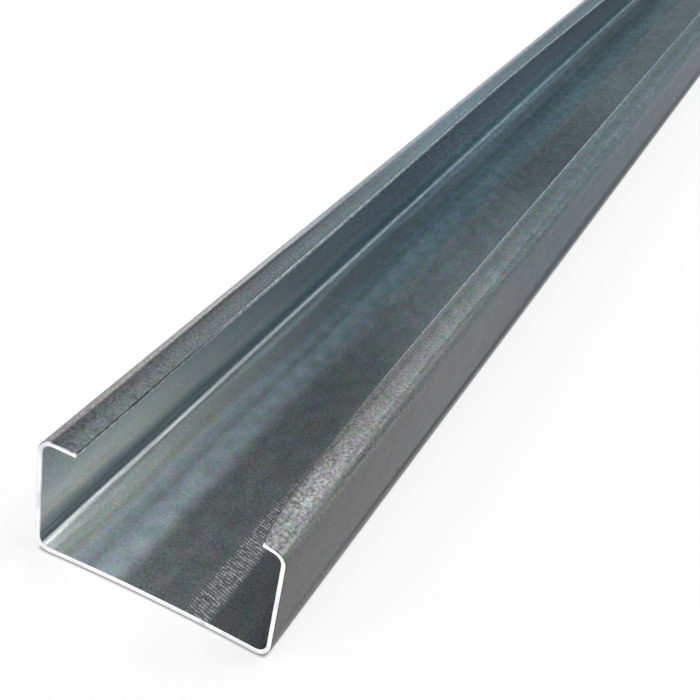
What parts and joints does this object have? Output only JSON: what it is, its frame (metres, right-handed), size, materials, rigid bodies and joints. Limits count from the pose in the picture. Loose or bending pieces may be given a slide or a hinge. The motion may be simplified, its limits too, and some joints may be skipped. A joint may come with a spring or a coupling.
{
  "type": "c purlin",
  "caption": "Roll-formed galvanised steel channel with a flat web, upright flanges and lips turned in, used as a roof or wall purlin.",
  "frame": {"origin": "middle of the web's back face, half way along the length", "axes": "+X across the web, +Y along the length, +Z from the web's back towards the lips"},
  "size_m": [0.1, 3, 0.052],
  "materials": {
    "galvanised_steel": "hot-dip zinc coat with a fine spangle, mill oiled, drawn marks along the length"
  },
  "bodies": {
    "root": {"purlin": "galvanised_steel"}
  },
  "joints": []
}
